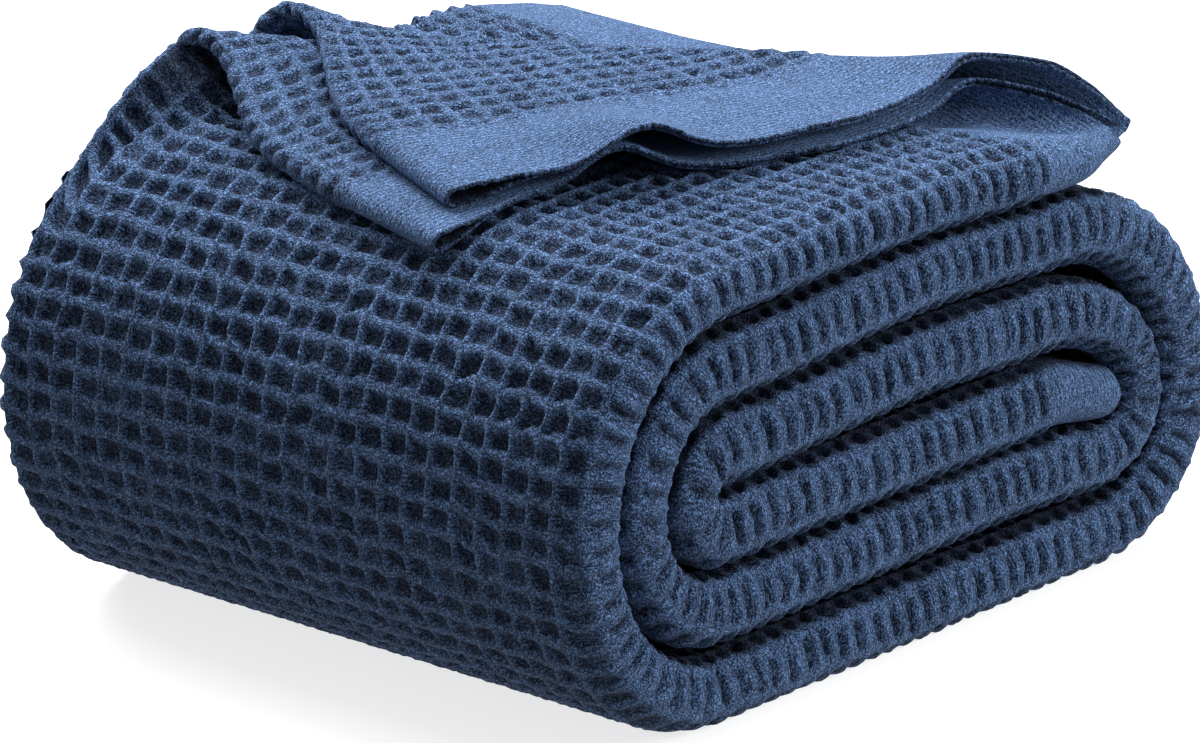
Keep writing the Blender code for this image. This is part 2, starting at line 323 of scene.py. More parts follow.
def strip_surface(place, around):
    """A point of the strip's near fold or of one of its faces."""
    angle = np.clip(around / QUARTER_FOLD, -1.0, 1.0) * math.pi / 2
    inside = ease((np.abs(around) - GAP_FROM) / GAP_BLEND)
    free = np.where(around > 0, ease(place - FREE_FROM), 0.0)
    height = np.sin(angle) * (1.0 - GAP_SINK * inside * (1.0 - free))
    return strip_point(place, height, near_across(around))


print("a point of the bottom turn's near fold:", strip_surface(bottom_start, 0.0).round(2))

# %% [markdown]
# ## The surface of the far folds
#
# At the far side, the outer half of the strip's thickness is two folded tubes and the inner half is one,
# so three folds show. They could be three pieces. One surface that runs over all three leaves no gaps
# between them.

# %% The far folds' surface
FAR_FOLD_DEPTH = 0.27
TUBE_FOLD_DEPTH = 0.14
# One row per fold: middle and half height in half thicknesses, and depth.
FAR_FOLDS = np.array(
    [
        (0.75, 0.25, TUBE_FOLD_DEPTH),
        (0.25, 0.25, TUBE_FOLD_DEPTH),
        (-0.5, 0.5, FAR_FOLD_DEPTH),
    ]
)


def far_surface(place, turn):
    """A point of the three folds at the far side: turn runs from 0 to 3, from the outer face inwards."""
    index = np.clip(np.floor(turn), 0, len(FAR_FOLDS) - 1).astype(int)
    middle, half, depth = FAR_FOLDS[index, 0], FAR_FOLDS[index, 1], FAR_FOLDS[index, 2]
    angle = (turn - index) * math.pi
    height = middle + half * np.cos(np.clip(angle, 0.0, math.pi))
    across = WIDTH - depth * (1.0 - np.sin(np.clip(angle, 0.0, math.pi)))
    across = across - np.maximum(-turn, 0.0) - np.maximum(turn - len(FAR_FOLDS), 0.0)
    return strip_point(place, height, across)


print(len(FAR_FOLDS), "folds at the far side")

# %% [markdown]
# ## The turned corner
#
# At the outer end, the corner of the strip's upper half is turned back over the top. That half holds two
# folded tubes of cloth. A cloth simulation could drop them into place, but it wouldn't lay them in the
# folds of the real blanket. So each tube is a few lines of known points. Each row below is one line along
# a tube, from the near side to the far side.

# %% Sizes of the two tubes
CREST_ANGLE = math.radians(125.8)

# across, start x, foot x, foot z, reach, then x, y and z of the crest, of the middle and of the hem.
LOWER_TUBE = (
    (0.35, 9.20, 10.25, 5.54, 0.05, 10.62, 0.34, 5.62, 10.66, 0.33, 5.64, 10.69, 0.32, 5.66),
    (0.75, 8.90, 10.00, 5.57, 0.08, 10.38, 0.73, 5.80, 10.38, 0.72, 5.85, 10.36, 0.70, 5.90),
    (1.20, 8.60, 9.70, 5.62, 0.12, 10.12, 1.15, 5.96, 10.10, 1.10, 6.02, 10.06, 1.05, 6.08),
    (2.00, 7.90, 9.10, 5.66, 0.25, 9.58, 1.99, 6.10, 9.50, 1.87, 6.19, 9.40, 1.70, 6.24),
    (3.00, 7.20, 8.50, 5.71, 0.20, 8.90, 2.92, 6.12, 8.70, 2.35, 6.15, 8.45, 1.62, 6.06),
    (4.30, 6.40, 7.75, 5.78, 0.17, 8.00, 4.15, 6.17, 7.40, 2.90, 6.12, 7.00, 1.58, 6.06),
    (6.60, 4.60, 6.00, 5.88, 0.20, 6.15, 6.45, 6.38, 5.30, 4.50, 6.17, 4.50, 2.50, 6.10),
    (8.20, 2.90, 4.20, 6.00, 0.25, 4.85, 8.00, 6.48, 3.70, 5.60, 6.13, 2.90, 3.10, 6.08),
    (9.40, 1.10, 2.75, 6.34, 0.36, 3.45, 9.15, 6.74, 2.20, 6.80, 6.07, 1.42, 3.35, 5.79),
)
UPPER_TUBE = (
    (0.35, 9.20, 10.30, 5.44, 0.05, 10.80, 0.34, 5.52, 10.86, 0.33, 5.58, 10.90, 0.32, 5.66),
    (0.75, 8.90, 10.05, 5.45, 0.15, 10.58, 0.74, 5.92, 10.58, 0.73, 6.03, 10.54, 0.71, 6.14),
    (1.20, 8.70, 9.75, 5.48, 0.25, 10.36, 1.17, 6.18, 10.30, 1.15, 6.31, 10.20, 1.12, 6.42),
    (2.00, 8.10, 9.20, 5.49, 0.42, 9.75, 2.00, 6.42, 9.60, 1.90, 6.50, 9.45, 1.77, 6.54),
    (3.00, 7.40, 8.60, 5.51, 0.42, 8.95, 3.00, 6.38, 8.85, 2.40, 6.40, 8.65, 1.70, 6.38),
    (4.30, 6.80, 8.10, 5.54, 0.42, 8.02, 4.25, 6.38, 7.55, 2.90, 6.36, 7.25, 1.62, 6.32),
    (6.60, 5.10, 6.40, 5.62, 0.50, 6.26, 6.60, 6.43, 5.40, 4.50, 6.46, 4.75, 2.25, 6.37),
    (8.20, 3.90, 5.20, 5.74, 0.50, 5.30, 7.75, 6.59, 4.10, 5.60, 6.46, 3.10, 3.00, 6.33),
    (9.40, 3.00, 4.20, 6.14, 0.34, 4.76, 8.80, 6.86, 3.05, 6.20, 6.38, 1.97, 3.60, 6.16),
)
# Where the six points of a line lie along it: start, foot, back of the crest, crest, middle, hem.
TUBE_KNOTS = (0.0, 0.18, 0.29, 0.40, 0.70, 1.0)
# How far below the top layer's upper side each tube starts.
LOWER_TUBE_DEPTH = 0.14
UPPER_TUBE_DEPTH = 0.38
NEAR_ROW = LOWER_TUBE[0][0]
FAR_ROW = LOWER_TUBE[-1][0]
print("the tubes reach from", NEAR_ROW, "to", FAR_ROW, "across the strip")

# %% [markdown]
# ## The top layer's upper side
#
# The tubes start inside the top layer, so its height has to be known. It could be measured on the solid
# model. Reading it from the strip's surface takes the same sizes and needs no search in a mesh.

# %% The height of the top layer
BEYOND_THE_BOTTOM = 8.0
TOP_FACE_X = 0.75
LEFT_BEND_Z = BENDS[-1][2]
TOP_SAMPLES = 600
TOP_ACROSS = 5.0

on_the_left = (travelled > bottom_start + BEYOND_THE_BOTTOM) & (path[:, 0] < TOP_FACE_X)
left_end = travelled[on_the_left & (path[:, 1] > LEFT_BEND_Z)].max()
top_places = np.linspace(left_end, path_end, TOP_SAMPLES)
top_line = strip_point(top_places, 1.0, TOP_ACROSS)
top_x = strip_point(top_places, 0.0, TOP_ACROSS)[:, 0]


def top_height(x):
    """The height of the top layer's upper side."""
    return np.interp(x, top_line[:, 0], top_line[:, 2])


def place_at(x):
    """How far along the strip the top layer reaches an x."""
    return np.interp(x, top_x, top_places)


print("the top face starts", round(left_end * PITCH, 3), "m along the strip")

# %% [markdown]
# ## The lines of a tube
#
# Each line of a tube starts inside the top layer, leaves it at its foot, turns over at the crest and ends
# at the hem. A Subdivision Surface modifier could smooth straight edges between those points, but it pulls
# a crest down. A curve that runs through the points keeps it where it is.


# %% Lines and surface of a tube
def tube_lines(table, depth, across):
    """The six points of the tube's lines at some distances across, and how far along each point is."""
    knots = [row[0] for row in table]
    values = smooth_between(knots, [row[1:] for row in table], across)
    start = np.stack([values[:, 0], across, top_height(values[:, 0]) - depth], axis=1)
    foot = np.stack([values[:, 1], across, values[:, 2]], axis=1)
    crest, middle, hem = values[:, 4:7], values[:, 7:10], values[:, 10:13]
    outward = np.array([math.sin(CREST_ANGLE), -math.cos(CREST_ANGLE), 0.0])
    back = 0.5 * (foot + crest) + outward * values[:, 3:4]
    points = np.stack([start, foot, back, crest, middle, hem], axis=1)
    steps = np.linalg.norm(np.diff(points, axis=1), axis=2)
    places = np.concatenate([np.zeros((len(across), 1)), np.cumsum(steps, axis=1)], axis=1)
    return points, places


def tube_middle(lines, shares):
    """Points of the tube's middle surface: one row of shares for each line."""
    points, places = lines
    grid = [
        smooth_between(place, line, np.interp(share, TUBE_KNOTS, place))
        for line, place, share in zip(points, places, shares)
    ]
    return np.array(grid)


hem_ends = tube_lines(LOWER_TUBE, LOWER_TUBE_DEPTH, np.array([NEAR_ROW, FAR_ROW]))[1][:, -1]
print("the lower tube is", (hem_ends * PITCH).round(3), "m long at its near and far side")

# %% [markdown]
# ## The waves and thickness of a tube
#
# Near their hems, both tubes lift over one small arch and wave a little beside it. The arch could be more
# points in the tables. A bell curve is plainer, and it moves both tubes alike. The tubes are thin in the
# band at the hem and stand open in a soft loop at their far corner.

# %% Waves and thickness
BAND_LENGTH = 1.67
ARCH_RISE = 0.42
ARCH_PLACE = 7.15
ARCH_WIDTH = 0.60
WAVE_RISE = 0.07
WAVES_FROM = 1.5
WAVE_REACH = 2.2
TUBE_HALF = 0.085
TUBE_HEM_HALF = 0.055
TUBE_HEM_BLEND = 0.8
TUBE_CORNER_HALF = 0.155
LOWER_CORNER = 8.7
UPPER_CORNER = 8.2
CORNER_BACK = 1.5
CORNER_BLEND = 4.0
NUDGE = 0.01


def hem_wave(across, left):
    """How far the cloth lifts near its hem: one small arch, and gentle waves beside it."""
    arch = ARCH_RISE * np.exp(-(((across - ARCH_PLACE) / ARCH_WIDTH) ** 2))
    waves = WAVE_RISE * (wander(across * 1.4, across * 0.0, 23) - 0.5) * ease(across - WAVES_FROM)
    return (arch + waves) * (1.0 - ease(left / WAVE_REACH))


def tube_lengths(places, shares):
    """How far along each line its shares are."""
    return np.array([np.interp(share, TUBE_KNOTS, place) for share, place in zip(shares, places)])


def tube_frame(table, depth, across, shares):
    """The middle surface of a tube, its two directions out of the cloth and across it, and its lengths."""
    lines = tube_lines(table, depth, across)
    middle = tube_middle(lines, shares)
    ahead = tube_middle(lines, np.clip(shares + NUDGE, 0, 1))
    ahead = ahead - tube_middle(lines, np.clip(shares - NUDGE, 0, 1))
    wide = tube_middle(tube_lines(table, depth, np.clip(across + NUDGE, NEAR_ROW, FAR_ROW)), shares)
    wide = wide - tube_middle(tube_lines(table, depth, np.clip(across - NUDGE, NEAR_ROW, FAR_ROW)), shares)
    upward = np.cross(ahead, wide)
    upward /= np.linalg.norm(upward, axis=2)[..., None]
    wide /= np.linalg.norm(wide, axis=2)[..., None]
    middle[..., 2] += hem_wave(across[:, None], lines[1][:, -1:] - tube_lengths(lines[1], shares))
    return middle, upward, wide, lines[1]


def tube_half(places, shares, across, corner_from):
    """Half thickness of a tube: thin in the band at the hem, fuller at its far corner."""
    left = places[:, -1:] - tube_lengths(places, shares)
    half = TUBE_HEM_HALF + (TUBE_HALF - TUBE_HEM_HALF) * ease((left - BAND_LENGTH) / TUBE_HEM_BLEND)
    corner = ease((across - corner_from) / (FAR_ROW - corner_from))[:, None]
    corner = corner * (1.0 - ease((left - CORNER_BACK) / CORNER_BLEND))
    return half + (TUBE_CORNER_HALF - half) * corner, left


print("the arch stands", round(float(hem_wave(np.array(ARCH_PLACE), 0.0)) * PITCH, 4), "m high")

# %% [markdown]
# ## Sizes of the weave
#
# A waffle cell is about a centimetre, and the near fold stretches one row of cells to nearly two. An image
# could carry the pattern, but cells of this size show their depth from any side. So the cells are counted
# over the cloth and later pressed into its mesh. FINE, MEDIUM and COARSE are the steps of the meshes.

# %% Cells and mesh steps
CELL_ALONG = 0.325
CELL_ACROSS = 0.385
FOLD_CELL = 0.66
RELIEF = 0.085
FINE = 0.042
MEDIUM = 0.085
COARSE = 0.20


def spaced(start, end, step):
    """Evenly spaced places from start to end, at most a step apart."""
    return np.linspace(start, end, max(2, int(math.ceil(abs(end - start) / step)) + 1))


def along_cells(place):
    """How many cells lie along the strip up to a place."""
    return place / CELL_ALONG


def across_cells(around):
    """How many cells lie around the near fold and across the faces."""
    outer = 1.0 + (around - FOLD_CELL / 2) / CELL_ACROSS
    inner = (around + FOLD_CELL / 2) / CELL_ACROSS
    fold = around / FOLD_CELL + 0.5
    return np.where(around > FOLD_CELL / 2, outer, np.where(around < -FOLD_CELL / 2, inner, fold))


print("a cell is", round(CELL_ALONG * PITCH, 4), "by", round(CELL_ACROSS * PITCH, 4), "m")
print("the strip is", round(float(along_cells(path_end))), "cells long")

# %% [markdown]
# ## The weave
#
# Waffle cloth has thick soft ridges one way and thin straight ones the other way, with a square pit
# between them. Where a fold pulls the cells open, each pit becomes a dark slot between two ribs. One cell
# could be modelled and repeated, but then all would be alike. A formula lets the ridges wander and gives
# each cell its own depth.

# %% Depth of the weave
# How far the ridges wander, in cells, and how often they do along and across the cloth.
THICK_WANDER = 0.32
THICK_TURNS = (0.8, 2.1)
THIN_WANDER = 0.22
THIN_TURNS = (1.6, 0.7)
THICK_RIDGE = 0.13
THICK_SLOPE = 0.16
THIN_RIDGE = 0.06
THIN_SLOPE = 0.15
THIN_RISE = 0.16
THIN_RISE_HALF = 0.10
THIN_RISE_SLOPE = 0.06
THIN_RISE_ENDS = 0.2
PUFFED_THICK = 0.02
PUFFED_THIN = 0.03
PIT_LEAST = 0.72
PIT_SPREAD = 0.40
SLOT_LEAST = 0.60
SLOT_SPREAD = 0.55
SLOT_HALF = 0.13
SLOT_LEAN = 0.16
SLOT_ENDS = 0.08
SLOT_END_SLOPE = 0.20
OPEN_PIT_SHARE = 0.20
RIB_RISE = 0.28
RIB_HALF = 0.14
FUZZ = 0.16
FUZZ_TURNS = 6.0


def closed_cell(from_thick, from_thin, own, puff):
    """Depth of a cell on a face: a square pit between its ridges."""
    inside_thick = ease((from_thick - THICK_RIDGE - PUFFED_THICK * puff) / THICK_SLOPE)
    inside_thin = ease((from_thin - THIN_RIDGE - PUFFED_THIN * puff) / THIN_SLOPE)
    return inside_thick * inside_thin * (PIT_LEAST + PIT_SPREAD * own)


def open_cell(pit, in_cell, from_thick, from_thin, own, lean):
    """Depth of a cell that a fold pulls open: a slot between two ribs."""
    deepest = (in_cell - 0.5 - SLOT_LEAN * lean) / SLOT_HALF
    slot = np.exp(-deepest * deepest) * ease((from_thin - SLOT_ENDS) / SLOT_END_SLOPE)
    rib = RIB_RISE * (1.0 - ease(from_thick / RIB_HALF))
    return OPEN_PIT_SHARE * pit + slot * (SLOT_LEAST + SLOT_SPREAD * own) - rib


def waffle(cells, stretch, puff, lean, seed):
    """Depth of the weave from 0 on a ridge to 1 in a pit.

    stretch is 1 where a fold pulls the cells open, and puff is 1 where they lie loose. lean says towards
    which end of the cell an open pit is deepest, from -1 to 1.
    """
    columns, rows = cells
    a = columns + THICK_WANDER * (wander(columns * THICK_TURNS[0], rows * THICK_TURNS[1], seed) - 0.5)
    b = rows + THIN_WANDER * (wander(columns * THIN_TURNS[0], rows * THIN_TURNS[1], seed + 1) - 0.5)
    from_thick = np.abs(a - np.round(a))
    from_thin = np.abs(b - np.round(b))
    own = scatter(np.floor(a), np.floor(b), seed)
    pit = closed_cell(from_thick, from_thin, own, puff)
    open_pit = open_cell(pit, a - np.floor(a), from_thick, from_thin, own, lean)
    fuzz = FUZZ * (wander(columns * FUZZ_TURNS, rows * FUZZ_TURNS, seed + 2) - 0.5)
    ridge = THIN_RISE * ease((THIN_RISE_HALF - from_thin) / THIN_RISE_SLOPE)
    ridge = ridge * ease(from_thick / THIN_RISE_ENDS)
    return pit + (open_pit - pit) * stretch + fuzz - ridge * (1.0 - stretch)


middle_of_cell = (np.array([4.5]), np.array([2.5]))
print("depth in the middle of one cell:", waffle(middle_of_cell, 0.0, 0.0, 0.0, 3).round(2))

# %% [markdown]
# ## The hem
#
# The ends of the cloth are turned under and overcast with thread, which gives a round, slightly knotted
# edge. The Bevel modifier could round it, but too evenly. Instead, a hemmed piece gets more columns, which
# turn under in a half circle that swells with every stitch and then run back below the cloth.

# %% Directions of a piece, and its hem
HEM_RADIUS = 0.028
HEM_TURN = 0.7
HEM_STITCH = 0.085
HEM_ARC_STEPS = 6
HEM_BACK_STEPS = 8
STITCH_SWELL = 0.22
UNEVEN_STITCH = 0.5
# How dark the painted shade starts where the hem turns under.
HEM_SHADE = 0.4
TINY = 1e-9


def grid_normals(points):
    """Directions out of the cloth, on the left of the columns' direction, and along its rows."""
    ahead = np.gradient(points, axis=1)
    wide = np.gradient(points, axis=0)
    normal = np.cross(ahead, wide)
    return normal / np.maximum(np.linalg.norm(normal, axis=2), TINY)[..., None], ahead


def stitch_radius(count):
    """The hem's radius at each row of a piece, fuller at every stitch."""
    stitch = np.arange(count) * FINE / HEM_STITCH
    uneven = wander(stitch * 1.3, stitch * 0.0, 17) - 0.5
    swell = STITCH_SWELL * np.cos(stitch * 2 * math.pi + 2 * uneven)
    return (HEM_RADIUS * (1.0 + swell + UNEVEN_STITCH * uneven))[:, None, None]


def with_hem(points, normal, ahead, values):
    """More columns at the end of each row of points, which turn under and run back inside."""
    tangent = ahead[:, -1:] / np.maximum(np.linalg.norm(ahead[:, -1:], axis=2), TINY)[..., None]
    angle = np.linspace(0.0, math.pi, HEM_ARC_STEPS + 1)[1:]
    radius = stitch_radius(len(points))
    turn = tangent * np.sin(angle)[None, :, None] * radius
    turn = turn - normal[:, -1:] * (1.0 - np.cos(angle))[None, :, None] * radius
    turned = points[:, -1:] + turn
    step = np.linalg.norm(points[:, -1] - points[:, -2], axis=1).max()
    run = np.arange(1, HEM_BACK_STEPS + 1) * HEM_TURN / HEM_BACK_STEPS
    back = np.minimum(1 + (run / max(step, 1e-6)).astype(int), points.shape[1] - 1)
    inside = points[:, -1 - back] - normal[:, -1 - back] * 2 * radius
    more = len(angle) + len(back)
    points = np.concatenate([points, turned, inside], axis=1)
    values = [np.concatenate([value, np.repeat(value[:, -1:], more, axis=1)], axis=1) for value in values]
    # The columns that turn under get painted shade: their pit value runs from HEM_SHADE up to 1.
    under = np.concatenate([np.linspace(HEM_SHADE, 1.0, len(angle)), np.ones(len(back))])
    values[2][:, -more:] = under
    return points, values


print("the hem is about", round(2 * HEM_RADIUS * PITCH * 1000, 1), "mm thick")

# %% [markdown]
# ## Making a piece of cloth
#
# All the pieces below are stretches of one woven cloth. A Displace modifier could press the weave in, but
# it reads a texture and not the formula above. So each piece starts from a bmesh grid. Its corners are
# moved onto the fold and pressed in or out by the weave, and the mesh keeps the pits, the bands and the
# flat cloth's own coordinates for the material.

# %% A piece of cloth
# The least pit value, on the raised ridges, where the colour gets its strongest painted highlight.
MOST_RAISED = -0.3
# A place with this depth of the weave stays where the grid has it.
LEVEL = 0.42
PUFFED_PITS = 0.10
PUFFED_RELIEF = 0.30

left_reach = (path[:, 0] - np.abs(along[:, 1]) * path[:, 2]).min()
origin = np.array([cad_box[0][0] - left_reach * PITCH, cad_box[0][1], 0.0])
print("the first pitch starts at", origin.round(4))


def grid_mesh(name, points, side):
    """A mesh with a corner at each point of a grid."""
    rows, columns = points.shape[:2]
    mesh = bpy.data.meshes.new(name)
    work = bmesh.new()
    bmesh.ops.create_grid(work, x_segments=columns - 1, y_segments=rows - 1, size=1.0)
    work.to_mesh(mesh)
    work.free()
    mesh.vertices.foreach_set("co", (points * PITCH + origin).astype(np.float32).ravel())
    if side < 0:
        mesh.flip_normals()
    return mesh


def keep_on_mesh(mesh, values):
    """The flat cloth's coordinates as a UV map, and as attributes the bands and the pit value of painted
    shade.
    """
    corner = np.empty(len(mesh.loops), dtype=np.int32)
    mesh.loops.foreach_get("vertex_index", corner)
    flat = np.stack([values[0].ravel(), values[1].ravel()], axis=1) * PITCH
    layer = mesh.uv_layers.new(name="cloth")
    layer.data.foreach_set("uv", flat[corner].astype(np.float32).ravel())
    for label, value in (("pit", values[2]), ("band", values[3])):
        attribute = mesh.attributes.new(label, "FLOAT", "POINT")
        attribute.data.foreach_set("value", value.astype(np.float32).ravel())


def make_cloth(
    name, points, cells, band, seed, hem=False, side=1.0, stretch=0.0, puff=0.0, lean=0.0, shade=0.0
):
    """A piece of cloth on a grid of points, with its weave.

    cells holds the two cell counts at each point, and band says how plain the cloth is there. side is -1
    where the cloth's outside is on the other side of the grid, and shade darkens it as a pit does.
    """
    normal, ahead = grid_normals(points)
    normal = normal * side
    depth = waffle(cells, stretch, puff, lean, seed)
    # The pit value paints shade into the colour in the pits and wherever shade is given; below zero, on
    # the raised ridges, it paints a highlight.
    pit = np.clip(depth, MOST_RAISED, 1.0) * (1.0 - band) * (1.0 - PUFFED_PITS * puff)
    pit = np.maximum(pit, shade)
    height = RELIEF * (LEVEL - depth) * (1.0 - band) * (1.0 - PUFFED_RELIEF * puff)
    shaped = points + normal * height[..., None]
    values = [cells[0] * CELL_ALONG, cells[1] * CELL_ACROSS, pit, band]
    if hem:
        shaped, values = with_hem(shaped, normal, ahead, values)
    mesh = grid_mesh(name, shaped, side)
    keep_on_mesh(mesh, values)
    mesh.polygons.foreach_set("use_smooth", np.ones(len(mesh.polygons), dtype=bool))
    mesh.update()
    piece = bpy.data.objects.new(name, mesh)
    bpy.context.scene.collection.objects.link(piece)
    print(name, len(mesh.polygons) * 2, "triangles")
    return piece


# %% [markdown]
# ## The cotton
#
# Cotton yarn is matte and slightly fuzzy. A photograph of cloth could be laid over the mesh, but it shows
# seams and fixes the light. A material made of nodes fits every piece. It starts with the shader, which
# gives the matte surface and a little sheen for the fuzz.

# %% The cotton's shader
COTTON_ROUGHNESS = 0.9
COTTON_SPECULAR = 0.10
COTTON_SHEEN = 0.08
SHEEN_ROUGHNESS = 0.45
SHEEN_TINT = (0.70, 0.80, 1.0, 1.0)

cotton = bpy.data.materials.new("cotton_waffle")
cotton.use_nodes = True
nodes = cotton.node_tree.nodes
links = cotton.node_tree.links
nodes.clear()
surface_output = nodes.new("ShaderNodeOutputMaterial")
shader = nodes.new("ShaderNodeBsdfPrincipled")
links.new(shader.outputs["BSDF"], surface_output.inputs["Surface"])
shader.inputs["Roughness"].default_value = COTTON_ROUGHNESS
shader.inputs["Specular IOR Level"].default_value = COTTON_SPECULAR
shader.inputs["Sheen Weight"].default_value = COTTON_SHEEN
shader.inputs["Sheen Roughness"].default_value = SHEEN_ROUGHNESS
shader.inputs["Sheen Tint"].default_value = SHEEN_TINT
print("shader made for", cotton.name)


# %% Helpers that add a node each
def noise(source, scale, detail, stretch=(1.0, 1.0, 1.0)):
    """Cloudy noise on some coordinates."""
    mapping = nodes.new("ShaderNodeMapping")
    mapping.inputs["Scale"].default_value = stretch
    links.new(source, mapping.inputs["Vector"])
    texture = nodes.new("ShaderNodeTexNoise")
    texture.inputs["Scale"].default_value = scale
    texture.inputs["Detail"].default_value = detail
    texture.inputs["Roughness"].default_value = 0.6
    links.new(mapping.outputs["Vector"], texture.inputs["Vector"])
    return texture.outputs["Fac"]


def spread(value, low, high):
    """A value spread so that low becomes 0 and high becomes 1."""
    node = nodes.new("ShaderNodeMapRange")
    node.inputs["From Min"].default_value = low
    node.inputs["From Max"].default_value = high
    links.new(value, node.inputs["Value"])
    return node.outputs["Result"]


def combined(operation, first, second, third=None):
    """The result of one sum on values and numbers."""
    node = nodes.new("ShaderNodeMath")
    node.operation = operation
    for socket, value in zip(node.inputs, (first, second, third)):
        if value is None:
            continue
        if isinstance(value, float):
            socket.default_value = value
        else:
            links.new(value, socket)
    return node.outputs["Value"]


def kept_value(label):
    """A value that the meshes keep at their corners."""
    node = nodes.new("ShaderNodeAttribute")
    node.attribute_name = label
    return node.outputs["Fac"]


print("three helpers make textures and sums, and one reads what the meshes keep")

# %% [markdown]
# ## The yarn
#
# Close up, the cloth is a grain of small loops with light and dark sides, and fibres that run along the
# cloth. Real loops would need millions of faces. Noise and Voronoi cells of less than a millimetre stand
# for them, and a slow noise makes some patches of cloth a little lighter than others.

# %% The yarn's grain
GRAIN_SCALE = 1400.0
LOOP_SCALE = 1450.0
LOOP_FALL = -1.6
LOOP_TOP = 1.25
FIBRE_SCALE = 420.0
PATCH_SCALE = 60.0
GRAIN_RANGE = (0.40, 0.62)
YARN_RANGE = (0.28, 0.71)
PATCH_RANGE = (0.3, 0.7)
GRAIN_SHARE = 0.75
FIBRE_SHARE = 0.25

solid = nodes.new("ShaderNodeTexCoord").outputs["Object"]
cloth_map = nodes.new("ShaderNodeUVMap")
cloth_map.uv_map = "cloth"
on_cloth = cloth_map.outputs["UV"]
grain = spread(noise(solid, GRAIN_SCALE, 2.0, (1.0, 1.0, 0.8)), *GRAIN_RANGE)
fibre = spread(noise(on_cloth, FIBRE_SCALE, 2.0, (3.0, 1.0, 1.0)), *GRAIN_RANGE)
loops = nodes.new("ShaderNodeTexVoronoi")
loops.inputs["Scale"].default_value = LOOP_SCALE
links.new(solid, loops.inputs["Vector"])
loop = combined("MULTIPLY_ADD", loops.outputs["Distance"], LOOP_FALL, LOOP_TOP)
grain = combined("MULTIPLY_ADD", loop, 0.5, combined("MULTIPLY", grain, 0.5))
yarn = combined("MULTIPLY_ADD", grain, GRAIN_SHARE, combined("MULTIPLY", fibre, FIBRE_SHARE))
yarn = spread(yarn, *YARN_RANGE)
patch = spread(noise(solid, PATCH_SCALE, 3.0), *PATCH_RANGE)
print("a loop of yarn is about", round(1000 / LOOP_SCALE, 2), "mm wide")

# %% [markdown]
# ## The plain bands
#
# The bands at both ends are woven plainly, and fine ribs run along them. They could be modelled, but they
# are finer than the mesh. A wave texture draws them, only where the mesh says that the cloth is a band.

# %% The bands' ribs
RIB_SCALE = 130.0
RIB_DISTORTION = 2.0
RIB_DETAIL = 2.0
RIB_DETAIL_SCALE = 3.0

rib = nodes.new("ShaderNodeTexWave")
rib.wave_type = "BANDS"
rib.bands_direction = "X"
rib.inputs["Scale"].default_value = RIB_SCALE
rib.inputs["Distortion"].default_value = RIB_DISTORTION
rib.inputs["Detail"].default_value = RIB_DETAIL
rib.inputs["Detail Scale"].default_value = RIB_DETAIL_SCALE
links.new(on_cloth, rib.inputs["Vector"])
plain = combined("MULTIPLY", rib.outputs["Fac"], kept_value("band"))
print("the ribs follow the", cloth_map.uv_map, "coordinates")

# %% [markdown]
# ## The cotton's colour
#
# The cloth is blue, with a painted highlight on the raised ridges and painted shade, almost black, in the
# pits. Two paint colours could be mixed by a mask. Adding up how light each thing makes the cloth, and
# reading the colour from one ramp, keeps all the blues in one family. The kept pit value paints that shade
# into the sum: in the pits, between the turns, in the hollow under the first ridge and under the hem,
# because little light gets in there.

# %% Colour and fine relief
DARK_BLUE = (0.002, 0.005, 0.018, 1.0)
LIGHT_BLUE = (0.176, 0.322, 0.640, 1.0)
YARN_LIGHT = 0.84
LEAST_LIGHT = 0.02
PATCH_LIGHT = 0.14
PLAIN_LIGHT = 0.18
# How deep the painted shade of a pit value of 1 is, as a share of the light and as a fall below it.
PIT_SHADE = -0.60
PIT_FALL = -0.12
PLAIN_BUMP = 0.5
BUMP_DEPTH = 0.0008

# Painted shade where the pit value is above zero, painted highlight where it is below zero.
painted_shade_and_highlight = kept_value("pit")
light = combined("MULTIPLY_ADD", yarn, YARN_LIGHT, LEAST_LIGHT)
light = combined("MULTIPLY_ADD", patch, PATCH_LIGHT, light)
light = combined("MULTIPLY_ADD", plain, PLAIN_LIGHT, light)
light = combined("MULTIPLY", light, combined("MULTIPLY_ADD", painted_shade_and_highlight, PIT_SHADE, 1.0))
light = combined("MULTIPLY_ADD", painted_shade_and_highlight, PIT_FALL, light)
ramp = nodes.new("ShaderNodeValToRGB")
ramp.color_ramp.elements[0].color = DARK_BLUE
ramp.color_ramp.elements[1].color = LIGHT_BLUE
links.new(light, ramp.inputs["Fac"])
links.new(ramp.outputs["Color"], shader.inputs["Base Color"])

bump = nodes.new("ShaderNodeBump")
bump.inputs["Strength"].default_value = 1.0
bump.inputs["Distance"].default_value = BUMP_DEPTH
links.new(combined("MULTIPLY_ADD", plain, PLAIN_BUMP, yarn), bump.inputs["Height"])
links.new(bump.outputs["Normal"], shader.inputs["Normal"])
print("the cotton has", len(nodes), "nodes")

# %% [markdown]
# ## Finishing a piece
#
# The real blanket is one cloth, and the pieces are only the parts of it that show. Each could have its
# own material, but all are the same cotton, so they share it. The calls below hang a piece on the root,
# hide the solid blanket that it stands for, and print how large its cloth would lie flat.


# %% Material and notes for a piece
def finish_piece(piece, width, length):
    """Give a piece its material and say which cloth it is."""
    piece.data.materials.append(cotton)
    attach(piece, "root")
    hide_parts("blanket")
    print(piece.name, "lies flat on", round(width * PITCH, 3), "by", round(length * PITCH, 3), "m")


print("each piece gets", cotton.name)

# %% [markdown]
# ## Bands and pulled cells
#
# The cloth is plain in a band at both ends. On the near fold it is pulled open into ribs, with one row of
# slots a little above the fold's middle. A weight map could be painted for each. Functions of the place
# are exact and work for every piece.

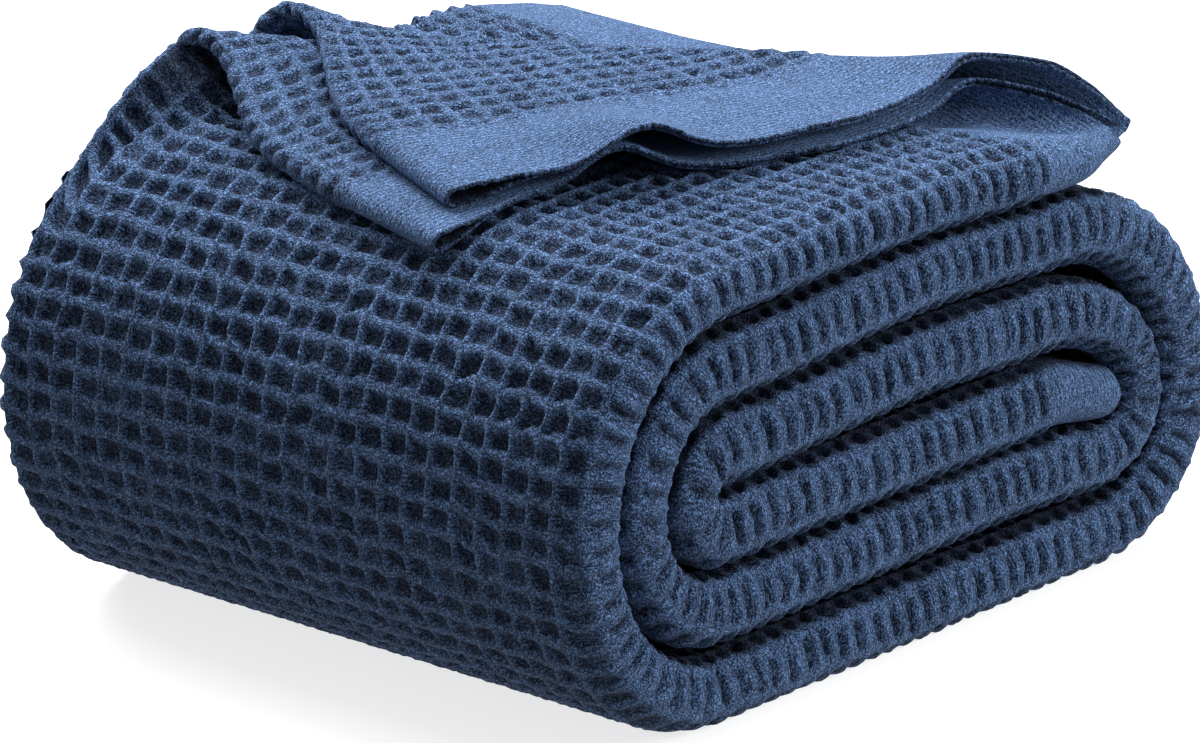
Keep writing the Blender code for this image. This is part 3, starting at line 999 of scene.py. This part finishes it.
# %% Where the cloth is plain, and where it is pulled
INNER_BAND_LENGTH = 1.35
BAND_BLEND = 0.25
NOSE_FROM = 0.45
NOSE_FREE = 0.20
NOSE_BLEND = 0.30
NOSE_SHIFT = 0.10
QUICK_TURN = 3.0

outer_start = bottom_start + 5.0


def hem_band(left):
    """How plain the cloth is at a distance from its outer hem: 1 in the band and 0 beyond it."""
    return 1.0 - ease((left - BAND_LENGTH) / BAND_BLEND)


def roll_band(place):
    """How plain the cloth is along the roll: 1 in the bands at its two ends."""
    inner = 1.0 - ease((place - INNER_BAND_LENGTH) / BAND_BLEND)
    return np.maximum(inner, hem_band(path_end - place))


def nose_stretch(place, around):
    """How far the near fold pulls the cells open, from 0 on the faces to 1 on the fold."""
    free = np.where(around > 0, ease(place - outer_start), 0.0)
    return 1.0 - ease((np.abs(around) - NOSE_FROM + NOSE_FREE * free) / NOSE_BLEND)


def outer_side_up(place):
    """1 where the outer face looks up, -1 where it looks down, and in between on the turned ends."""
    return np.clip(path_at(place)[3] * QUICK_TURN, -1.0, 1.0)


def nose_cells(place, around):
    """The cell counts on the near fold, and towards which end of the cells the slots lean."""
    upward = outer_side_up(place)
    shifted = around - NOSE_SHIFT * upward * nose_stretch(place, around)
    return along_cells(place), across_cells(shifted), upward


print("the outer turn starts", round(outer_start * PITCH, 3), "m along the strip")

# %% [markdown]
# ## The dark between the turns
#
# Hardly any light gets in between two turns of a real roll, and the edge of the dark is jagged where the
# ribs end. The lamps alone would leave the gaps too light, because the turns of the mesh lie a little
# apart. So the cloth in there is shaded as a pit is.

# %% Shade between the turns
CREVICE_SHADE = 1.15
CREVICE_FROM = 0.49
CREVICE_UPPER = 0.11
CREVICE_BLEND = 0.16
JAGGED = 0.10
OPEN_AFTER = 0.6
OPEN_BLEND = 0.8


def crevice_shade(place, around):
    """How dark the cloth is between two turns.

    The dark reaches further down over the upper side of a fold than up over its lower side.
    """
    upper = outer_side_up(place) * np.sign(around)
    opening = ease((place - second_end - OPEN_AFTER) / OPEN_BLEND)
    hidden = np.where(around > 0, 1.0 - opening, 1.0)
    jagged = JAGGED * (wander(place * 5.0, around * 0.0, 31) - 0.5)
    inward = np.abs(around) - CREVICE_FROM + CREVICE_UPPER * upper + jagged
    return CREVICE_SHADE * hidden * ease(inward / CREVICE_BLEND)


print("the outer face is open", round((second_end + OPEN_AFTER) * PITCH, 3), "m along the strip")

# %% [markdown]
# ## The folds at the near side
#
# The ribbed folds are what the roll shows at its near side, and the two faces go on some way into the
# gaps between the turns. The whole strip could be one mesh, but that would be far too large at this fine
# step. So it is cut into stretches that meet edge to edge, and what shows most has the finest mesh.

# %% The near folds
INSIDE = 1.25


def roll_piece(name, start, end, low, high, step):
    """A piece of the strip's near fold and faces."""
    place, around = np.meshgrid(spaced(start, end, step), spaced(low, high, step))
    points = strip_surface(place, around)
    *cells, lean = nose_cells(place, around)
    stretch = nose_stretch(place, around)
    shade = crevice_shade(place, around)
    piece = make_cloth(name, points, cells, roll_band(place), 3, stretch=stretch, lean=lean, shade=shade)
    finish_piece(piece, high - low, end - start)


roll_piece("near_folds_inner", 0.0, second_start, -INSIDE, INSIDE, FINE)
roll_piece("near_folds_outer", second_start, outer_start, -INSIDE, INSIDE, FINE)

# %% [markdown]
# ## The left face
#
# The outer turn bulges at the left, and the cells run around the bulge in straight lines. It could be a
# part of the fold before it. As a piece of its own it can reach across the whole strip to the far fold.

# %% The left face
far_edge = WIDTH - TUBE_FOLD_DEPTH - NEAR_FOLD_DEPTH + QUARTER_FOLD
roll_piece("left_face", outer_start, left_end, -INSIDE, far_edge, FINE)

# %% [markdown]
# ## The top face
#
# The top face goes on to the right. Beyond the foot of the lower tube it becomes that tube's inner side,
# which turns over at the crest and ends at the hem. Two pieces could meet at the foot, but a seam would
# show in the middle of the weave. So one grid follows the roll first and the tube later, and a weight
# blends the two.

# %% The top face
FAR_BLEND = 0.5
TURNED_FROM = 0.10
TURNED_BLEND = 0.25
RISING = 1.2
EARLY_RISING = 0.3
EARLY_FROM = 7.0
EARLY_BLEND = 2.0
EARLY_PLACE = 0.5
HOOD_SHADE = 0.95
HOOD_REACH = 1.2
HOOD_FROM = 4.0
HOOD_BLEND = 3.0
UNDER_HEM_BACK = 0.07


def top_across(around):
    """How far across the top face's rows lie. The last ones reach the far rows of the tubes."""
    across = near_across(around)
    to_far_row = FAR_ROW - near_across(far_edge)
    across = across + to_far_row * ease((around - far_edge + FAR_BLEND) / FAR_BLEND)
    return np.clip(across, NEAR_ROW, FAR_ROW)


def risen(across, length, foot):
    """How far the top face has left the roll for the tube. It rises earlier near the far side."""
    early = ease((across - EARLY_FROM) / EARLY_BLEND)[:, None]
    lifted = foot * (1.0 - early) + EARLY_PLACE * early
    rising = RISING - EARLY_RISING * early
    return ease((length - lifted + rising) / rising)


def hood_shade(across, length, foot):
    """How dark the top face is in the hollow under the first ridge."""
    in_hollow = ease((length - foot + HOOD_REACH) / HOOD_REACH)
    return HOOD_SHADE * in_hollow * ease((across[:, None] - HOOD_FROM) / HOOD_BLEND)


def top_piece():
    around = spaced(-INSIDE, far_edge, FINE)
    across = top_across(around)
    turned = ease((around - TURNED_FROM) / (QUARTER_FOLD + TURNED_BLEND))
    points, places = tube_lines(LOWER_TUBE, LOWER_TUBE_DEPTH, across)
    foot = place_at(points[:, 1, 0])
    after = places[:, -1] - places[:, 1]
    end = path_end + (foot + after - path_end - UNDER_HEM_BACK) * turned
    share = spaced(0.0, 1.0, FINE / (end.max() - left_end))
    place = left_end + (end - left_end)[:, None] * share[None, :]
    around = np.repeat(around[:, None], len(share), axis=1)
    on_roll = strip_surface(np.minimum(place, path_end), around)
    length = places[:, 1:2] + place - foot[:, None]
    shares = np.array([np.interp(row, line, TUBE_KNOTS) for row, line in zip(length, places)])
    middle, upward, _, _ = tube_frame(LOWER_TUBE, LOWER_TUBE_DEPTH, across, shares)
    half, _ = tube_half(places, shares, across, LOWER_CORNER)
    on_tube = middle + upward * half[..., None]
    weight = turned[:, None] * risen(across, length, places[:, 1:2])
    points = on_roll + (on_tube - on_roll) * weight[..., None]
    *cells, lean = nose_cells(place, around)
    shade = crevice_shade(place, np.minimum(around, 0.0))
    shade = np.maximum(shade, hood_shade(across, length, places[:, 1:2]))
    kinds = {"stretch": nose_stretch(place, around), "lean": lean, "shade": shade}
    band = hem_band(end[:, None] - place)
    piece = make_cloth("top_face", points, cells, band, 3, hem=True, **kinds)
    finish_piece(piece, far_edge + INSIDE, float(end.mean() - left_end) + HEM_TURN)


top_piece()

# %% [markdown]
# ## The turned tubes
#
# Each tube has an inner and an outer side, joined by a fold at the far side. A Solidify modifier could
# give one sheet both sides, but it would close the hem, and the real one is open between its two layers.
# So one grid runs around the fold. The lower tube's inner side is the top face above, and only its outer
# side is made here.

# %% The tubes
FOLD_STEPS = 8
WRAP_STEPS = 10
WRAP = 1.3
LONGEST_TUBE = 9.0
CREST_SHARE = 0.40
TO_CREST = 2.6
BEYOND_CREST = 5.4
# The column, counted back from the hem, where the way around a tube is measured.
GIRTH_COLUMN = -60
TUBE_PULL_FROM = 0.15
TUBE_PULL_BLEND = 0.25


def tube_section(sides):
    """Around a tube, row by row: how far across, which side, and how far out over the far fold."""
    line = spaced(NEAR_ROW, FAR_ROW, FINE)
    if sides == 2:
        fold = np.linspace(0.0, math.pi, FOLD_STEPS + 1)[1:-1]
    else:
        fold = np.linspace(0.0, math.pi * WRAP, WRAP_STEPS + 1)[1:]
    across = [line, np.full(len(fold), FAR_ROW)]
    height = [np.full(len(line), -1.0), -np.cos(fold)]
    reach = [np.zeros(len(line)), np.sin(fold)]
    if sides == 2:
        across.append(line[::-1])
        height.append(np.ones(len(line)))
        reach.append(np.zeros(len(line)))
    fold_row = len(line) + len(fold) // 2
    return np.concatenate(across), np.concatenate(height), np.concatenate(reach), fold_row


def tube_piece(name, table, depth, corner_from, sides, seed):
    """A tube's outer side, its far fold, and with two sides its inner side as well."""
    across, height, reach, fold_row = tube_section(sides)
    before = spaced(0.0, CREST_SHARE, CREST_SHARE * FINE / TO_CREST)
    after = spaced(CREST_SHARE, 1.0, (1.0 - CREST_SHARE) * FINE / BEYOND_CREST)[1:]
    share = np.concatenate([before, after])
    under = (1.0 + height[:, None]) / 2
    shares = share[None, :] * (1.0 - UNDER_HEM_BACK / LONGEST_TUBE * under)
    middle, upward, wide, places = tube_frame(table, depth, across, shares)
    half, left = tube_half(places, shares, across, corner_from)
    outward = upward * height[:, None, None] + wide * reach[:, None, None]
    points = middle + outward * half[..., None]
    steps = np.linalg.norm(np.diff(points[:, GIRTH_COLUMN], axis=0), axis=1)
    girth = np.concatenate([[0.0], np.cumsum(steps)])
    rows = np.repeat((girth / CELL_ACROSS)[:, None], len(share), axis=1)
    cells = (along_cells(LONGEST_TUBE - left), rows)
    from_fold = np.abs(girth - girth[fold_row])[:, None]
    puff = np.ones_like(left)
    stretch = (1.0 - ease((from_fold - TUBE_PULL_FROM) / TUBE_PULL_BLEND)) * puff
    kinds = {"side": -1.0, "stretch": stretch, "puff": puff}
    piece = make_cloth(name, points, cells, hem_band(left), seed, hem=True, **kinds)
    finish_piece(piece, float(girth[-1]), float(places[:, -1].mean()) + HEM_TURN)


tube_piece("lower_tube", LOWER_TUBE, LOWER_TUBE_DEPTH, LOWER_CORNER, 1, 5)
tube_piece("upper_tube", UPPER_TUBE, UPPER_TUBE_DEPTH, UPPER_CORNER, 2, 7)

# %% [markdown]
# ## The lower half of the top layer
#
# Behind the crest, the lower half of the strip lies almost flat, swells a little at its far side and ends
# in its own hem. The solid's face could show instead, but it has no weave. A grid on the same slope takes
# the weave, and a bell curve lifts it.

# %% The lower half
CUT_BOTTOM = 5.50
CUT_BOTTOM_X = 4.0
CUT_SLOPE = math.radians(0.8)
HALF_START = 3.8
HALF_END = 10.66
HALF_NEAR = 0.45
HALF_FAR = WIDTH - 0.04
HALF_FLAT_WIDTH = WIDTH - 0.55
HALF_STEP = 0.7 * MEDIUM
SWELL = 0.46
SWELL_X = 8.1
SWELL_WIDTH = 2.1
LIFT_FROM = 5.5
SWELL_BLEND = 3.2
SAG = 0.08
SAG_X = 9.9
SAG_WIDTH = 0.9
SAG_BLEND = 3.4
UNEVEN_TOP = 0.05
HEM_DRIFT = 0.14
DRIFT_X = 9.2
DRIFT_BLEND = 1.4


def far_lift(x, y):
    """How far the lower half lifts at its far side, and how far it sags towards its hem there."""
    swell = SWELL * np.exp(-(((x - SWELL_X) / SWELL_WIDTH) ** 2)) * ease((y - LIFT_FROM) / SWELL_BLEND)
    sag = SAG * ease((x - SAG_X) / SAG_WIDTH) * ease((y - LIFT_FROM) / SAG_BLEND)
    return swell - sag + UNEVEN_TOP * (wander(x * 0.7, y * 0.7, 11) - 0.5)


def lower_half():
    x, y = np.meshgrid(spaced(HALF_START, HALF_END, HALF_STEP), spaced(HALF_NEAR, HALF_FAR, HALF_STEP))
    drift = HEM_DRIFT * (wander(y * 1.2, y * 0.0, 29) - 0.4)
    x = x + drift * ease((x - DRIFT_X) / DRIFT_BLEND)
    z = CUT_BOTTOM - (x - CUT_BOTTOM_X) * math.tan(CUT_SLOPE) + far_lift(x, y)
    points = np.stack([x, y, z], axis=-1)
    cells = (x / CELL_ALONG, y / CELL_ACROSS)
    piece = make_cloth("lower_half", points, cells, hem_band(HALF_END - x), 11, hem=True)
    finish_piece(piece, HALF_FLAT_WIDTH, HALF_END - HALF_START + HEM_TURN)


lower_half()

# %% [markdown]
# ## The other faces
#
# The faces below, at the right and inside the gaps are the same cloth. They could stay plain, but they
# show in other views. So they have the same weave, on wider grids the less they show.

# %% The right face and the faces in the gaps
OVERLAP = 0.02
INNER_FAR_EDGE = far_edge - 0.13

roll_piece("right_face", second_end, outer_start, INSIDE - OVERLAP, far_edge, MEDIUM)
roll_piece("inner_faces_out", 0.0, second_end, INSIDE - OVERLAP, far_edge, COARSE)
roll_piece("inner_faces_in", 0.0, path_end, -INNER_FAR_EDGE, -INSIDE + OVERLAP, COARSE)

# %% [markdown]
# ## The folds at the far side
#
# The three far folds run along the whole strip. Bent pipes could stand for them, but folds of cloth meet
# in sharp creases. The surface made above has those creases. Beyond the left bulge, where the turned tubes
# leave, the folds start a little further down, and beyond the cut only the lowest fold is left.

# %% The far folds
FAR_STEP = 0.10
FAR_TUCK = 0.4
FAR_TUCK_BLEND = 0.8
LIFT_TURN = 3.1
LAST_TURN = 3.2
CUT_X = 2.6


def far_piece(name, start, end, first_turn, width):
    place, turn = np.meshgrid(spaced(start, end, MEDIUM), spaced(first_turn, LAST_TURN, FAR_STEP))
    tuck = FAR_TUCK * ease((place - left_end) / FAR_TUCK_BLEND)
    turn = turn + tuck * (1.0 - ease(turn / FAR_TUCK_BLEND))
    points = far_surface(place, turn)
    if start > 0:
        points[..., 2] += far_lift(points[..., 0], points[..., 1]) * ease(LIFT_TURN - turn)
    cells = (along_cells(place), turn * 0.5 + 0.5)
    piece = make_cloth(name, points, cells, roll_band(place), 3)
    finish_piece(piece, width, end - start)


cut_place = place_at(CUT_X)
far_piece("far_folds", 0.0, cut_place, -0.2, 1.6)
far_piece("far_end_fold", cut_place, path_end, 2.4, 0.7)

# %% [markdown]
# ## The floor
#
# The blanket stands on a plain white ground. A lit floor would turn grey at its edges, so this one gives
# off some light of its own, and only the blanket's soft shadow shows on it. That light isn't let onto the
# cloth, because it would brighten the underside. The floor is staging and no part of the blanket.

# %% The floor
FLOOR_HALF = 6.0
FLOOR_DROP = 0.0005
FLOOR_GREY = (0.42, 0.42, 0.42, 1.0)
FLOOR_LIGHT = 0.76
FLOOR_ROUGHNESS = 0.8
WHITE = (1.0, 1.0, 1.0, 1.0)

floor_mesh = bpy.data.meshes.new("floor")
floor_work = bmesh.new()
bmesh.ops.create_grid(floor_work, x_segments=1, y_segments=1, size=FLOOR_HALF)
floor_work.to_mesh(floor_mesh)
floor_work.free()
floor_mesh.transform(Matrix.Translation((0.0, 0.0, -FLOOR_DROP)))
floor = bpy.data.objects.new("floor", floor_mesh)
bpy.context.scene.collection.objects.link(floor)
pale_floor = bpy.data.materials.new("pale_floor")
pale_floor.use_nodes = True
floor_shader = pale_floor.node_tree.nodes["Principled BSDF"]
floor_shader.inputs["Base Color"].default_value = FLOOR_GREY
floor_shader.inputs["Emission Color"].default_value = WHITE
floor_shader.inputs["Emission Strength"].default_value = FLOOR_LIGHT
floor_shader.inputs["Roughness"].default_value = FLOOR_ROUGHNESS
floor_mesh.materials.append(pale_floor)
floor.visible_diffuse = False
print("the floor is", 2 * FLOOR_HALF, "m wide")

# %% [markdown]
# ## The light
#
# Soft studio light comes from above, from the front and from behind. A single sun would be easier to set,
# but its hard shadows would fill every pit alike. Three large area lamps and a dim white world give soft
# shadows that follow the weave.

# %% World and lamps
WORLD_LIGHT = 0.37
LAMP_TARGET = (0.0, 0.0, 0.1)

world = bpy.data.worlds.new("studio")
bpy.context.scene.world = world
world.use_nodes = True
world.node_tree.nodes["Background"].inputs["Color"].default_value = WHITE
world.node_tree.nodes["Background"].inputs["Strength"].default_value = WORLD_LIGHT


def add_light(name, place, size, power):
    """A rectangular lamp that points at the blanket."""
    lamp_data = bpy.data.lights.new(name, "AREA")
    lamp_data.shape = "RECTANGLE"
    lamp_data.size, lamp_data.size_y = size
    lamp_data.energy = power
    lamp = bpy.data.objects.new(name, lamp_data)
    bpy.context.scene.collection.objects.link(lamp)
    lamp.location = place
    lamp.rotation_mode = "QUATERNION"
    lamp.rotation_quaternion = (Vector(LAMP_TARGET) - Vector(place)).to_track_quat("-Z", "Y")
    print(name, "gives", power, "W")


add_light("key_light", (0.7, 0.4, 2.2), (1.2, 1.2), 60.0)
add_light("fill_light", (1.4, -2.0, 1.1), (1.2, 1.2), 58.0)
add_light("back_light", (0.2, 1.8, 1.6), (1.4, 1.0), 64.0)

# %% [markdown]
# ## The camera
#
# In the photograph, parallel edges stay almost parallel, as they do with a long lens from far away. An
# orthographic camera would come close. A long lens at a great distance keeps the little perspective there
# is. Its target and distance are given in pitches, as all places are.

# %% The camera
CAMERA_TURN = math.radians(-49.36)
CAMERA_RISE = math.radians(18.99)
CAMERA_DISTANCE = 124.290
CAMERA_TARGET = (5.7483, 4.5803, 2.7626)
CAMERA_LENS = 300.02
CAMERA_SENSOR = 36.0
CAMERA_REACH = 100.0

camera_data = bpy.data.cameras.new("camera")
camera_data.sensor_width = CAMERA_SENSOR
camera_data.lens = CAMERA_LENS
camera_data.clip_end = CAMERA_REACH
camera = bpy.data.objects.new("camera", camera_data)
bpy.context.scene.collection.objects.link(camera)
bpy.context.scene.camera = camera
target = Vector(np.array(CAMERA_TARGET) * PITCH + origin)
back = Vector(
    (
        math.sin(CAMERA_TURN) * math.cos(CAMERA_RISE),
        -math.cos(CAMERA_TURN) * math.cos(CAMERA_RISE),
        math.sin(CAMERA_RISE),
    )
)
camera.location = target + back * CAMERA_DISTANCE * PITCH
camera.rotation_mode = "QUATERNION"
camera.rotation_quaternion = (-back).to_track_quat("-Z", "Y")
bpy.context.scene.view_settings.view_transform = "Standard"
print("the camera stands", round(CAMERA_DISTANCE * PITCH, 2), "m away")
